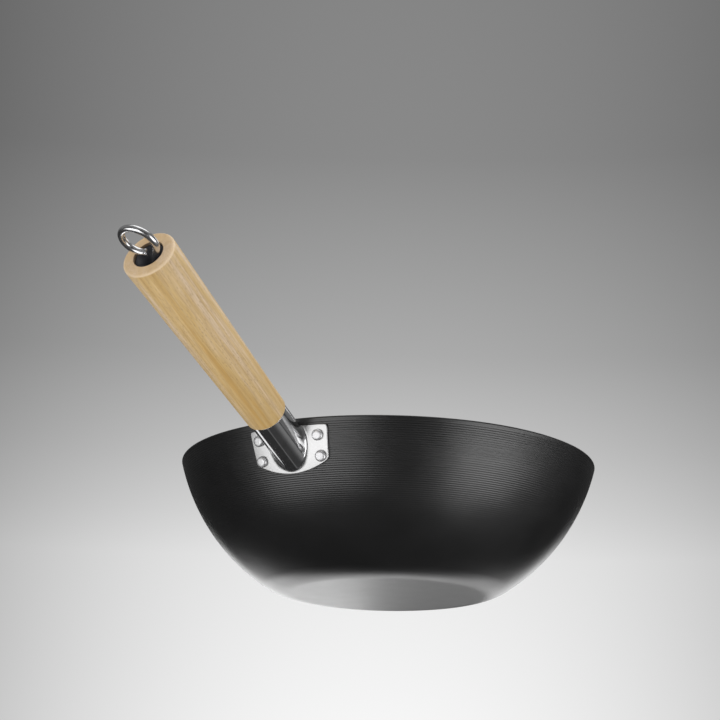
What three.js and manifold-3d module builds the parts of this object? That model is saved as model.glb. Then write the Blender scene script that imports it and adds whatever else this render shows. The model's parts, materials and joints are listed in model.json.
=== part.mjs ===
// Wok: a spun steel bowl, a riveted socket bracket, a turned wooden grip and a screw-in hanging eye.
// Millimetres, +Z up. The origin is the centre of the flat base, and the handle lies along +X.

import * as THREE from 'three';
import { mergeVertices } from 'three/addons/utils/BufferGeometryUtils.js';
import Module from 'manifold-3d';

const wasm = await Module();
wasm.setup();

// Bowl. A lean is an angle in degrees by which the wall tips outwards from upright.
const RIM_RADIUS = 150;
const BOWL_SHEET = 1.6;
const RIM_LEAN = 14.5;
const WALL_ARC = 145;
const KNEE_LEAN = 57.1;
const KNEE_ARC = 40;

// Bracket: a plate on the wall and a socket tube on the handle's axis. Drops are below the rim.
const BRACKET_SHEET = 1.5;
const PLATE_TOP_DROP = 4.6;
const PLATE_TOP_WIDTH = 58.4;
const PLATE_CORNER_DROP = 26.2;
const PLATE_CORNER_WIDTH = 53.8;
const PLATE_BOTTOM_DROP = 33;
const PLATE_CORNER_ROUND = 2.5;
const SOCKET_DIAMETER = 26.2;

// Handle. The socket's mouth is where the grip's shoulder sits on the tube.
const HANDLE_RISE = 23.15;
const MOUTH_REACH = 26.5;
const MOUTH_DROP = 1.8;
const GRIP_LENGTH = 156;
const GRIP_NARROW_DIAMETER = 28;
const GRIP_WIDE_DIAMETER = 34.8;
const GRIP_SHOULDER_ROUND = 1.2;
const GRIP_END_ROUND = 1.8;
const TENON_LENGTH = 16;

// Rivets, one at each corner of the plate, set in from its sides, its top edge and its lower corners.
const RIVET_SIDE_INSET = 7.45;
const RIVET_TOP_INSET = 5.8;
const RIVET_CORNER_INSET = 3;
const RIVET_SHANK_DIAMETER = 4;
const RIVET_HEAD_DIAMETER = 7.6;
const RIVET_HEAD_HEIGHT = 2.5;
const RIVET_INNER_DIAMETER = 9;
const RIVET_INNER_HEIGHT = 1.4;

// Hanging eye, a rod bent sideways at its neck and round into a loop. Its angles, in degrees, are counted
// round the loop from the grip's side. Past the closing angle the cut end lifts off the circle.
const ROD_DIAMETER = 4.5;
const EYE_DIAMETER = 22.6;
const EYE_HEIGHT = 11.2;
const NECK_ANGLE = 35;
const NECK_BEND = 6;
const EYE_CLOSE_ANGLE = 270;
const EYE_END_ANGLE = 357;
const EYE_END_LIFT = 1.4;
const EYE_TURN = -11;
const ROD_TIP = 1.2;

// Black bush, whose dish the eye's neck turns in.
const BUSH_SET_BACK = 1.5;
const BUSH_EDGE = 1.4;
const BUSH_LENGTH = 11;

// Anchor inside the socket.
const ANCHOR_THICKNESS = 2;
const NUT_ACROSS_FLATS = 8;
const NUT_HEIGHT = 6;

// Clearances: between seated pieces, along the rod, and between the turning neck and its dish.
const FIT = 0.3;
const ROD_CLEARANCE = 0.7;
const DISH_CLEARANCE = 0.45;

// Steps in the round surfaces.
const BOWL_STEPS = 80;
const WALL_STEPS = 9;
const KNEE_STEPS = 5;
const EDGE_STEPS = 4;
const TURNED_STEPS = 48;
const RIVET_STEPS = 20;
const DOME_STEPS = 5;
const ROD_SIDES = 12;
const BEND_STEPS = 4;
const EYE_STEPS = 36;

const { cos, sin, tan, asin, sqrt, PI } = Math;
const radians = THREE.MathUtils.degToRad;
const point = (x, y) => new THREE.Vector2(x, y);

// Sizes of the bowl that follow from its arcs.
const rimLean = radians(RIM_LEAN);
const kneeLean = radians(KNEE_LEAN);
const rimHeight = WALL_ARC * (sin(kneeLean) - sin(rimLean)) + KNEE_ARC * (1 - sin(kneeLean));
const wallCentre = point(RIM_RADIUS - WALL_ARC * cos(rimLean), rimHeight + WALL_ARC * sin(rimLean));
const kneeCentre = point(wallCentre.x + (WALL_ARC - KNEE_ARC) * cos(kneeLean), KNEE_ARC);

// Places along the handle's axis, measured outwards from the socket's mouth.
const rise = radians(HANDLE_RISE);
const mouth = new THREE.Vector3(RIM_RADIUS + MOUTH_REACH, 0, rimHeight - MOUTH_DROP);
const socketRadius = SOCKET_DIAMETER / 2;
const socketBore = socketRadius - BRACKET_SHEET;
const anchorTop = -TENON_LENGTH - FIT;
const nutTop = anchorTop - ANCHOR_THICKNESS - FIT;
const rodEnd = nutTop - NUT_HEIGHT - ROD_TIP;

// Sizes of the rod, its neck and the dish that the neck turns in.
const rodRadius = ROD_DIAMETER / 2;
const eyeRadius = EYE_DIAMETER / 2;
const neck = radians(NECK_ANGLE);
const eyeCentre = GRIP_LENGTH + EYE_HEIGHT;
const neckCorner = eyeCentre - eyeRadius / sin(neck);
const dishTip = neckCorner - (rodRadius + DISH_CLEARANCE) / sin(neck);
const bushTop = GRIP_LENGTH - BUSH_SET_BACK;
const bushBottom = bushTop - BUSH_LENGTH;
const bushBore = rodRadius + ROD_CLEARANCE;
const dishRadius = (bushTop - dishTip) * tan(neck);
const bushRadius = dishRadius + BUSH_EDGE;

// Points on an arc from one angle to another, both included, in a profile of radius and height.
function arc(centre, radius, from, to, steps) {
  return Array.from({ length: steps + 1 }, (_, i) => {
    const angle = from + (to - from) * i / steps;
    return point(centre.x + radius * cos(angle), centre.y + radius * sin(angle));
  });
}

// The bowl's outer face from the base's edge up to the rim, moved out by an offset.
function bowlFace(offset) {
  return [
    ...arc(kneeCentre, KNEE_ARC + offset, -PI / 2, -kneeLean, KNEE_STEPS),
    ...wallFace(offset).slice(1),
  ];
}

// Only the wall's part of that face.
function wallFace(offset) {
  return arc(wallCentre, WALL_ARC + offset, -kneeLean, -rimLean, WALL_STEPS);
}

// A body of revolution about Z from points of radius and height, listed with the body on their left.
function turned(points, steps) {
  return new THREE.LatheGeometry(points, steps).rotateX(PI / 2);
}

// A body of revolution with a bore, whose profile closes on itself.
function turnedRing(points, steps) {
  return turned([...points, points[0].clone()], steps);
}

// A rod or a drill along Z.
function rod(radius, from, to, steps) {
  return turned([point(0, from), point(radius, from), point(radius, to), point(0, to)], steps);
}

// Joins shared corners and drops triangles that have no area, to make a solid for joins and cuts.
function solid(geometry) {
  const bare = geometry.clone();
  bare.deleteAttribute('normal');
  bare.deleteAttribute('uv');
  const merged = mergeVertices(bare, 1e-4);
  const triangles = [];
  for (let i = 0; i < merged.index.count; i += 3) {
    const corners = [0, 1, 2].map((k) => merged.index.getX(i + k));
    if (new Set(corners).size === 3) triangles.push(...corners);
  }
  return new wasm.Manifold(new wasm.Mesh({
    numProp: 3,
    vertProperties: merged.attributes.position.array,
    triVerts: Uint32Array.from(triangles),
  }));
}

// The three.js geometry of a solid.
function geometryOf(body) {
  const { vertProperties, triVerts } = body.getMesh();
  const geometry = new THREE.BufferGeometry();
  geometry.setAttribute('position', new THREE.BufferAttribute(vertProperties, 3));
  geometry.setIndex(new THREE.BufferAttribute(triVerts, 1));
  geometry.computeVertexNormals();
  return geometry;
}

// Where each rivet sits on the outer face of the wall, and which way it points.
function rivetPlace(drop, side) {
  const lean = asin(sin(rimLean) + drop / WALL_ARC);
  const across = side * (PLATE_TOP_WIDTH / 2 - RIVET_SIDE_INSET);
  const radius = wallCentre.x + WALL_ARC * cos(lean);
  const along = sqrt(radius ** 2 - across ** 2);
  const normal = new THREE.Vector3(cos(lean) * along / radius, cos(lean) * across / radius, -sin(lean));
  const position = new THREE.Vector3(along, across, rimHeight - drop);
  const quaternion = new THREE.Quaternion().setFromUnitVectors(new THREE.Vector3(0, 0, 1), normal);
  return { position, quaternion };
}

const upperRivets = PLATE_TOP_DROP + RIVET_TOP_INSET;
const lowerRivets = PLATE_CORNER_DROP - RIVET_CORNER_INSET;
const rivets = {
  rivet_upper_left: rivetPlace(upperRivets, -1),
  rivet_upper_right: rivetPlace(upperRivets, 1),
  rivet_lower_left: rivetPlace(lowerRivets, -1),
  rivet_lower_right: rivetPlace(lowerRivets, 1),
};

// Cuts the rivets' holes through a sheet.
function drilled(body) {
  const scale = new THREE.Vector3(1, 1, 1);
  const holeRadius = RIVET_SHANK_DIAMETER / 2 + FIT;
  const length = BOWL_SHEET + BRACKET_SHEET + RIVET_HEAD_HEIGHT;
  return Object.values(rivets).reduce((rest, { position, quaternion }) => {
    const drill = rod(holeRadius, -length, length, RIVET_STEPS);
    return rest.subtract(solid(drill.applyMatrix4(new THREE.Matrix4().compose(position, quaternion, scale))));
  }, body);
}

// Bowl with a rounded rim, one sheet thick.
function wokBody() {
  const edge = BOWL_SHEET / 2;
  const rimCentre = wallFace(-edge).at(-1);
  const profile = [
    point(0, 0),
    ...bowlFace(0),
    ...arc(rimCentre, edge, -rimLean, PI - rimLean, EDGE_STEPS).slice(1, -1),
    ...bowlFace(-BOWL_SHEET).reverse(),
    point(0, BOWL_SHEET),
  ];
  return geometryOf(drilled(solid(turned(profile, BOWL_STEPS))));
}

// The plate's outline across Y and up Z, pushed through along X.
function plateBlank() {
  const topWidth = PLATE_TOP_WIDTH / 2;
  const cornerWidth = PLATE_CORNER_WIDTH / 2;
  const corners = [
    point(-topWidth, -PLATE_TOP_DROP),
    point(-cornerWidth, -PLATE_CORNER_DROP),
    point(cornerWidth, -PLATE_CORNER_DROP),
    point(topWidth, -PLATE_TOP_DROP),
  ];
  const toward = (from, to) => to.clone().sub(from).setLength(PLATE_CORNER_ROUND).add(from);
  const belly = point(0, PLATE_CORNER_DROP - 2 * PLATE_BOTTOM_DROP);
  const outline = new THREE.Shape();
  outline.moveTo(...toward(corners[0], corners[3]));
  outline.quadraticCurveTo(...corners[0], ...toward(corners[0], corners[1]));
  outline.lineTo(...toward(corners[1], corners[0]));
  outline.quadraticCurveTo(...corners[1], ...toward(corners[1], belly));
  outline.quadraticCurveTo(...belly, ...toward(corners[2], belly));
  outline.quadraticCurveTo(...corners[2], ...toward(corners[2], corners[3]));
  outline.lineTo(...toward(corners[3], corners[2]));
  outline.quadraticCurveTo(...corners[3], ...toward(corners[3], corners[0]));
  const blank = new THREE.ExtrudeGeometry(outline, { depth: mouth.x, bevelEnabled: false, curveSegments: 8 });
  const axes = [new THREE.Vector3(0, 1, 0), new THREE.Vector3(0, 0, 1), new THREE.Vector3(1, 0, 0)];
  return blank.applyMatrix4(new THREE.Matrix4().makeBasis(...axes)).translate(0, 0, rimHeight);
}

// Plate and socket tube as one pressed sheet. The tube is open where it meets the wall.
function handleBracket() {
  const skin = turnedRing([...wallFace(FIT + BRACKET_SHEET), ...wallFace(FIT).reverse()], BOWL_STEPS);
  const plate = solid(skin).intersect(solid(plateBlank()));
  const face = bowlFace(FIT);
  const above = face.at(-1).clone().add(point(tan(rimLean), 1).multiplyScalar(SOCKET_DIAMETER));
  const bowlSpace = solid(turned([point(0, -FIT), ...face, above, point(0, above.y)], BOWL_STEPS));
  const tube = solid(rod(socketRadius, -RIM_RADIUS, -FIT, TURNED_STEPS).applyMatrix4(handle.matrix));
  const bore = solid(rod(socketBore, -RIM_RADIUS, FIT, TURNED_STEPS).applyMatrix4(handle.matrix));
  return geometryOf(drilled(tube.subtract(bowlSpace).add(plate).subtract(bore)));
}

// Domed outer head, shank, and a flatter inner head. Zero height is the bowl's outer face.
function rivet() {
  const shank = RIVET_SHANK_DIAMETER / 2;
  const seat = 2 * FIT + BRACKET_SHEET;
  const innerSeat = -BOWL_SHEET - FIT;
  const dome = (radius, height, base) => Array.from({ length: DOME_STEPS }, (_, i) => {
    const angle = PI / 2 * i / DOME_STEPS;
    return point(radius * cos(angle), base + height * sin(angle));
  });
  return turned([
    point(0, innerSeat - RIVET_INNER_HEIGHT),
    ...dome(RIVET_INNER_DIAMETER / 2, -RIVET_INNER_HEIGHT, innerSeat).reverse(),
    point(shank, innerSeat),
    point(shank, seat),
    ...dome(RIVET_HEAD_DIAMETER / 2, RIVET_HEAD_HEIGHT, seat),
    point(0, seat + RIVET_HEAD_HEIGHT),
  ], RIVET_STEPS);
}

// Tapered grip with a tenon, a bore for the rod and a pocket for the bush.
function woodenGrip() {
  const narrow = GRIP_NARROW_DIAMETER / 2;
  const wide = GRIP_WIDE_DIAMETER / 2;
  const tenon = socketBore - FIT;
  const pocket = bushRadius + FIT;
  const bore = rodRadius + ROD_CLEARANCE;
  const shoulder = point(narrow - GRIP_SHOULDER_ROUND, GRIP_SHOULDER_ROUND);
  const end = point(wide - GRIP_END_ROUND, GRIP_LENGTH - GRIP_END_ROUND);
  return turnedRing([
    point(bore, -TENON_LENGTH),
    point(tenon, -TENON_LENGTH),
    point(tenon, 0),
    ...arc(shoulder, GRIP_SHOULDER_ROUND, -PI / 2, 0, EDGE_STEPS),
    ...arc(end, GRIP_END_ROUND, 0, PI / 2, EDGE_STEPS),
    point(pocket, GRIP_LENGTH),
    point(pocket, bushBottom - FIT),
    point(bore, bushBottom - FIT),
  ], TURNED_STEPS);
}

// Bush with a cone-shaped dish that clears the turning neck.
function endBush() {
  return turnedRing([
    point(bushBore, bushBottom),
    point(bushRadius, bushBottom),
    point(bushRadius, bushTop),
    point(dishRadius, bushTop),
    point(bushBore, dishTip + bushBore / tan(neck)),
  ], TURNED_STEPS);
}

// A path given by stations, so that a straight run takes one step and a bend takes several.
class StationPath extends THREE.Curve {
  constructor(stations) {
    super();
    this.stations = stations;
  }

  station(u) {
    return this.stations[Math.round(u * (this.stations.length - 1))];
  }

  getPointAt(u) {
    return this.station(u).position.clone();
  }

  getTangentAt(u) {
    return this.station(u).direction.clone();
  }
}

// The rod's centre line: up the axis, sideways at the neck, and round the loop to its cut end.
function eyeStations() {
  const station = (position, direction) => ({
    position: new THREE.Vector3(0, position.x, position.y),
    direction: new THREE.Vector3(0, direction.x, direction.y).normalize(),
  });
  const bendStart = neckCorner - NECK_BEND * tan(neck / 2);
  const bend = Array.from({ length: BEND_STEPS + 1 }, (_, i) => {
    const angle = neck * i / BEND_STEPS;
    const position = point(NECK_BEND * (1 - cos(angle)), bendStart + NECK_BEND * sin(angle));
    return station(position, point(sin(angle), cos(angle)));
  });
  const loopStart = PI / 2 - neck;
  const loopEnd = radians(EYE_END_ANGLE);
  const closeStart = radians(EYE_CLOSE_ANGLE);
  const loop = Array.from({ length: EYE_STEPS + 1 }, (_, i) => {
    const angle = loopStart + (loopEnd - loopStart) * i / EYE_STEPS;
    const closing = Math.max(0, (angle - closeStart) / (loopEnd - closeStart));
    const radius = eyeRadius - EYE_END_LIFT * closing ** 2;
    const shrink = 2 * EYE_END_LIFT * closing / (loopEnd - closeStart);
    const outward = point(sin(angle), -cos(angle));
    const onward = point(cos(angle), sin(angle)).multiplyScalar(radius).addScaledVector(outward, -shrink);
    return station(outward.multiplyScalar(radius).add(point(0, eyeCentre)), onward);
  });
  return [station(point(0, rodEnd), point(0, 1)), ...bend, ...loop];
}

// Round rod swept along that line.
function eyeRod() {
  const stations = eyeStations();
  const section = new THREE.Shape().absarc(0, 0, rodRadius, 0, 2 * PI);
  return new THREE.ExtrudeGeometry(section, {
    steps: stations.length - 1,
    curveSegments: ROD_SIDES / 2,
    extrudePath: new StationPath(stations),
  }).rotateZ(radians(EYE_TURN));
}

// Plate across the socket, just behind the tenon.
function anchorPlate() {
  const hole = rodRadius + FIT;
  const radius = socketBore - FIT;
  return turnedRing([
    point(hole, anchorTop - ANCHOR_THICKNESS),
    point(radius, anchorTop - ANCHOR_THICKNESS),
    point(radius, anchorTop),
    point(hole, anchorTop),
  ], TURNED_STEPS);
}

// Six-sided nut behind the plate.
function weldNut() {
  const corner = NUT_ACROSS_FLATS / 2 / cos(PI / 6);
  const outline = new THREE.Shape(arc(point(0, 0), corner, 0, 2 * PI, 6).slice(0, -1));
  outline.holes.push(new THREE.Path().absarc(0, 0, rodRadius + FIT, 0, 2 * PI));
  const settings = { depth: NUT_HEIGHT, bevelEnabled: false, curveSegments: 10 };
  return new THREE.ExtrudeGeometry(outline, settings).translate(0, 0, nutTop - NUT_HEIGHT);
}

const finishes = {
  blackSteel: new THREE.MeshStandardMaterial({ color: 0x26262a, roughness: 0.42, metalness: 0.6 }),
  brightSteel: new THREE.MeshStandardMaterial({ color: 0xd4d5d6, roughness: 0.16, metalness: 1 }),
  rivetSteel: new THREE.MeshStandardMaterial({ color: 0xc6c7c9, roughness: 0.22, metalness: 1 }),
  plainSteel: new THREE.MeshStandardMaterial({ color: 0x9b9da0, roughness: 0.4, metalness: 1 }),
  paleWood: new THREE.MeshStandardMaterial({ color: 0xbfa47a, roughness: 0.62, metalness: 0 }),
  blackPlastic: new THREE.MeshStandardMaterial({ color: 0x2a2a2c, roughness: 0.5, metalness: 0 }),
};

// Adds a named piece to a group.
function place(group, name, geometry, material) {
  const mesh = new THREE.Mesh(geometry, material);
  mesh.name = name;
  group.add(mesh);
  return mesh;
}

// The handle's group has its own +Z along the axis, outwards from the socket's mouth.
const handle = new THREE.Group();
handle.position.copy(mouth);
handle.rotation.y = PI / 2 - rise;
handle.updateMatrix();
place(handle, 'anchor_plate', anchorPlate(), finishes.plainSteel);
place(handle, 'weld_nut', weldNut(), finishes.plainSteel);
place(handle, 'wooden_grip', woodenGrip(), finishes.paleWood);
place(handle, 'end_bush', endBush(), finishes.blackPlastic);
place(handle, 'eye_rod', eyeRod(), finishes.brightSteel);

const wok = new THREE.Group();
place(wok, 'wok_body', wokBody(), finishes.blackSteel);
place(wok, 'handle_bracket', handleBracket(), finishes.brightSteel);
for (const [name, { position, quaternion }] of Object.entries(rivets)) {
  const mesh = place(wok, name, rivet(), finishes.rivetSteel);
  mesh.position.copy(position);
  mesh.quaternion.copy(quaternion);
}
wok.add(handle);

export default wok;
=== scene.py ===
import json
import math
import random

import bmesh
import bpy
from mathutils import Matrix, Quaternion, Vector


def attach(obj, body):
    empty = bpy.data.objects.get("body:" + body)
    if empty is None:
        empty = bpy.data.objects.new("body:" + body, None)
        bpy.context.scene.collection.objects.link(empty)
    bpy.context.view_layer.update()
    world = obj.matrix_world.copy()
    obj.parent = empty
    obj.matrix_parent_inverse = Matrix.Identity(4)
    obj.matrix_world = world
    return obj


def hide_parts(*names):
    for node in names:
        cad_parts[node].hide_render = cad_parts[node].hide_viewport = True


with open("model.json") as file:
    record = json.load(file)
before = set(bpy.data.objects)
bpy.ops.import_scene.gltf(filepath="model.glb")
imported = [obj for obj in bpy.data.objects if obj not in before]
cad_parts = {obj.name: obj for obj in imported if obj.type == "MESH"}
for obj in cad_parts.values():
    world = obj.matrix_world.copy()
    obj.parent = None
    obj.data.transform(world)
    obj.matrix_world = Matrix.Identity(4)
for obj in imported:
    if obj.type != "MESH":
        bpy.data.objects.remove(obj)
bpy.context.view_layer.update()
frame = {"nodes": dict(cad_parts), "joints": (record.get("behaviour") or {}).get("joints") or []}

# The wok from the photograph: a spun black bowl, a bright riveted bracket, a wooden grip and a
# hanging eye. Metres and degrees, in the frame of the solids: +Z up, the handle towards +X, zero
# on the base. Names that end in STEPS count the pieces of a line or curve.

# Bowl. A lean is how far the wall tips outwards from upright.
RIM_RADIUS = 0.150
BOWL_SHEET = 0.0016
RIM_LEAN = 14.5
WALL_ARC = 0.145
KNEE_LEAN = 57.1
KNEE_ARC = 0.040
BOWL_STEPS = 176
WALL_STEPS = 48
KNEE_STEPS = 20
BASE_STEPS = 12
RIM_STEPS = 8

# Turned grooves round the wall, which fade towards the base.
GROOVE_PITCH = 0.0015
GROOVE_DEPTH = 0.00014
GROOVE_DEPTH_SHARES = (0.85, 1.1)  # from the shallowest groove to the deepest
GROOVE_RIM_GAP = 0.0006
GROOVE_FADE = 0.85  # share of the depth that goes
GROOVE_FADE_START = 0.3  # share of the wall's length, from the rim
GROOVE_FADE_LENGTH = 0.3  # share of the wall's length
GROOVE_POINTS = 6
GROOVE_SEED = 7

# Bracket. Drops are below the rim.
BRACKET_SHEET = 0.0015
PLATE_TOP_DROP = 0.0046
PLATE_TOP_WIDTH = 0.0584
PLATE_CORNER_DROP = 0.0262
PLATE_CORNER_WIDTH = 0.0538
PLATE_BOTTOM_DROP = 0.033
PLATE_CORNER_ROUND = 0.0025
SOCKET_DIAMETER = 0.0262
BEND_SIZE = 0.0026
TUBE_STEPS = 8
BEND_STEPS = 8
PLATE_STEPS = 8
TOP_STEPS = 20
CORNER_STEPS = 8
PLATE_SIDE_STEPS = 14
PLATE_BOTTOM_STEPS = 48
BEND_SHARE = 0.45  # most of the plate's width that the bend takes
TOP_END_SHARE = 0.7  # middle part of the tube's top that ends at the wall

# Rounded edges of the bracket.
PLATE_EDGE = 0.0004
TUBE_EDGE = 0.00015
EDGE_ANGLE = 40
EDGE_STEPS = 3
EDGE_ROW = 1.4  # last row of points before the plate's edge, in rounds of that edge
EDGE_ROW_SHARE = 0.6  # most of the plate's width that this row lies from the edge

# Rivets. The lower its power, the squarer a head.
RIVET_SPACING = 0.0435
RIVET_UPPER_DROP = 0.0104
RIVET_LOWER_DROP = 0.0232
RIVET_SHANK_DIAMETER = 0.004
RIVET_HEAD_DIAMETER = 0.0076
RIVET_HEAD_HEIGHT = 0.0025
RIVET_HEAD_POWER = 0.42
RIVET_SIDE = 0.0007
RIVET_FOOT = 0.3  # share of the side
RIVET_INNER_DIAMETER = 0.009
RIVET_INNER_HEIGHT = 0.0014
RIVET_INNER_POWER = 0.8
RIVET_STEPS = 48
RIVET_HEAD_STEPS = 18
RIVET_INNER_STEPS = 14

# Grip and bush, along the handle's axis from the socket's mouth.
GRIP_LENGTH = 0.156
GRIP_NARROW_DIAMETER = 0.028
GRIP_WIDE_DIAMETER = 0.0348
GRIP_SHOULDER_ROUND = 0.0012
GRIP_END_ROUND = 0.0018
TENON_LENGTH = 0.016
TENON_CHAMFER = 0.0006
POCKET_EDGE = 0.0004
BUSH_SET_BACK = 0.0015
BUSH_EDGE = 0.0014
BUSH_LENGTH = 0.011
BUSH_ROUND = 0.0003
GRIP_STEPS = 128
GRIP_SIDE_STEPS = 40
GRIP_SHOULDER_STEPS = 8
GRIP_END_STEPS = 10
POCKET_EDGE_STEPS = 5
BUSH_STEPS = 96
BUSH_ROUND_STEPS = 4

# Hanging eye. From the close angle on, its loop draws in towards the middle by the end lift.
ROD_DIAMETER = 0.0045
EYE_DIAMETER = 0.0226
EYE_HEIGHT = 0.0112
NECK_ANGLE = 35
NECK_BEND = 0.006
EYE_CLOSE_ANGLE = 270
EYE_END_ANGLE = 357
EYE_END_LIFT = 0.0014
EYE_TURN = -11
ROD_END = -0.0258
ROD_CHAMFER = 0.0004
ROD_STEPS = 32
SHANK_STEPS = 6
NECK_STEPS = 12
EYE_STEPS = 120

# Clearances, as in the solids.
FIT = 0.0003
ROD_CLEARANCE = 0.0007
DISH_CLEARANCE = 0.00045

# Meshes. Points closer than the distance are one, and edges over the angles stay sharp.
MERGE_DISTANCE = 1e-7
SHARP_ANGLE = 50
BOWL_SHARP_ANGLE = 60
SOLVE_ROUNDS = 50

# Black coat. Scales of noise are per metre, and colours are pairs of a noise value and a colour.
COAT_COLOURS = ((0.3, (0.0016, 0.0016, 0.0017)), (0.7, (0.0028, 0.0028, 0.0030)))
COAT_ROUGHNESS = (0.32, 0.38)
COAT_SPECULAR = 1.0
COAT_MOTTLE = 60
COAT_GRAIN = 1800
COAT_BUMP = 0.000004
RING_BUMP = 0.00001
RING_GRAIN_SHARE = 0.25

# Bright steels: range of roughness, colour, and strokes of the brush per metre along each axis.
STEELS = {
    "polished_steel": ((0.08, 0.14), (0.88, 0.88, 0.89), (900, 900, 900)),
    "satin_steel": ((0.27, 0.36), (0.57, 0.57, 0.57), (500, 500, 2600)),
    "rivet_steel": ((0.43, 0.53), (0.85, 0.85, 0.86), (1500, 1500, 1500)),
    "plated_steel": ((0.20, 0.27), (0.78, 0.78, 0.79), (700, 700, 700)),
    "plain_steel": ((0.34, 0.48), (0.55, 0.56, 0.58), (300, 300, 300)),
}
STEEL_CLOUD = 220
STEEL_CLOUD_SPAN = (0.35, 0.65)
STEEL_SHADE = 0.94
STEEL_BUMP = 0.000002

# Pale wood. Each grain is a scale across and along the grip, detail, roughness and distortion.
WOOD_DRIFT = (30, 6, 2, 0.5, 0.0)
WOOD_BANDS = (75, 2.6, 3, 0.55, 0.0)
WOOD_STREAKS = (330, 7, 4, 0.6, 0.3)
WOOD_RIDGES = (150, 3.2, 2, 0.5, 0.0)
WOOD_FIBRES = (1300, 55, 3, 0.6, 0.0)
WOOD_PORES = (900, 900, 260)  # scale along each axis
WOOD_BAND_SHARE, WOOD_STREAK_SHARE = 0.62, 0.38
WOOD_COLOURS = (
    (0.39, (0.510, 0.315, 0.100)),
    (0.49, (0.585, 0.408, 0.178)),
    (0.61, (0.650, 0.500, 0.340)),
)
WOOD_ROUGHNESS = (0.46, 0.58)
WOOD_SPECULAR = 0.4
WOOD_BUMP = 0.00003
WOOD_BUMP_STRENGTH = 0.6
WOOD_FIBRE_HEIGHT = 0.5

# Painted shade: one side of the grip is deeper in tone, as if in shade, and the other a touch
# paler, as if lit: the side's direction, the places and what they add.
WOOD_SHADE_SIDE = (-0.616, 0.788)
WOOD_SHADE_PLACES = (-0.004, 0.006)
WOOD_SHADE_TONES = (-0.030, 0.004)

# Marks in the wood, with painted highlights and painted shade at its ends: colour, then ranges of
# the noise or place and of the strength.
LINE_COLOUR = (0.365, 0.220, 0.080)
LINE_WIDTH = 0.03
LINE_STRENGTH = 0.45
LINE_DRIFT_SPAN = (0.35, 0.65)
LINE_DRIFT_SHARES = (0.2, 1.0)
FIBRE_COLOUR = (0.370, 0.235, 0.095)
FIBRE_SPAN = (0.4, 0.75)
FIBRE_STRENGTH = 0.6
PORE_COLOUR = (0.255, 0.150, 0.068)
PORE_SPAN = (0.14, 0.34)
PORE_BAND_SPAN = (0.45, 0.62)
PORE_STRENGTHS = (0.03, 0.45)
END_COLOUR = (0.640, 0.470, 0.305)
END_STRENGTH = 0.55
END_RISE = 0.5  # share of the end's rounding
# Painted highlight: a paler colour on the rounded edges at both ends of the grip, where light
# catches them.
EDGE_HIGHLIGHT_COLOUR = (0.840, 0.675, 0.470)
EDGE_HIGHLIGHT_STRENGTH = 0.4
EDGE_HIGHLIGHT_RISE = 0.3  # share of the end's rounding
EDGE_HIGHLIGHT_FALL = 0.6  # share of the end's rounding
# Painted shade: a dark band on the pocket's rounded edge, standing for the shade in the recess.
POCKET_SHADE_COLOUR = (0.075, 0.045, 0.030)
POCKET_SHADE_STRENGTH = 0.8
POCKET_SHADE_FALL = 0.25  # share of the pocket's edge

# Black plastic.
PLASTIC_COLOURS = ((0.35, (0.017, 0.018, 0.022)), (0.7, (0.028, 0.029, 0.036)))
PLASTIC_ROUGHNESS = (0.38, 0.55)
PLASTIC_GRAIN = 1400
PLASTIC_CLOUD = 180
PLASTIC_BUMP = 0.00002

# Ranges: a whole share, an axis of a direction, and where most values of a noise lie.
WHOLE = (0.0, 1.0)
AXIS_SPAN = (-1.0, 1.0)
NOISE_SPAN = (0.3, 0.7)

# Camera, around the middle of the rim's plane. Azimuths run from +X towards +Y.
CAMERA_AZIMUTH = 26.709
CAMERA_ELEVATION = -13.643
CAMERA_DISTANCE = 1.3196
RIM_PLANE = 0.0924
CAMERA_LENS = 90
SENSOR_WIDTH = 36

# How far the camera is turned away from that point.
CAMERA_YAW = 0.949
CAMERA_PITCH = 3.471
CAMERA_ROLL = 1.033

# Floor. From the near to the far distance its tone becomes even.
FLOOR_SIZE = 8.0
FLOOR_GAP = 0.0004
FLOOR_NEAR = 0.5
FLOOR_FAR = 1.0
FLOOR_TONE = 0.72
FLOOR_COLOUR = 0.80
FLOOR_ROUGHNESS = 0.9

# World. Each pair is a place on an axis, from -1 to 1, and the level of light there.
EVEN_LEVEL = 0.82
SEEN_LEVELS = ((0, 1.45), (0.08, 0.94), (0.187, 0.83), (0.213, 0.70), (0.246, 0.565),
               (0.295, 0.41), (0.40, 0.25), (0.6, 0.21))
SEEN_SIDE_SQUARE = 0.06  # square of the place sideways where the darkening ends
SEEN_SIDE_SHARE = 0.49  # share of the light that is left there
AROUND_LEVELS = ((-0.6, 0.007), (-0.25, 0.010), (0, 0.018), (0.12, 0.03), (0.3, 0.13),
                 (0.5, 0.17))
BELOW_LEVELS = ((-0.13, 0.022), (-0.1, 0.13), (-0.07, 0.13), (-0.03, 0.036), (0.33, 0.036),
                (0.45, 0.062), (0.54, 0.115), (0.62, 0.17))
BELOW_BORDER = (-0.48, -0.55)

# Lamps: azimuth, elevation, width, height and brightness. They face a point at the rim's height.
LAMP_DISTANCE = 1.6
LAMP_TARGET_X = 0.05
LAMPS = {
    "overhead": (60, 80, 1.4, 1.4, 1.25),
    "left_softbox": (-18.5, -23.5, 1.85, 1.04, 1.85),
    "right_softbox": (85.4, -20, 1.12, 0.88, 2.6),
    "right_low": (83, -43.5, 0.5, 0.25, 1.9),
    "right_edge": (111, -8, 0.32, 0.34, 2.2),
    "rear_low": (-156, -31, 1.35, 0.55, 1.79),
    "rear_side": (-129.5, -23.5, 0.45, 0.38, 1.01),
    "rear_panel": (131, -12, 0.6, 1.0, 0.11),
    "rear_glow_left": (-143, -8, 0.55, 0.55, 2.81),
    "rear_glow_right": (-170, -7, 0.4, 0.5, 2.5),
    "back_light": (165, 38, 0.6, 0.6, 1.56),
}

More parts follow.
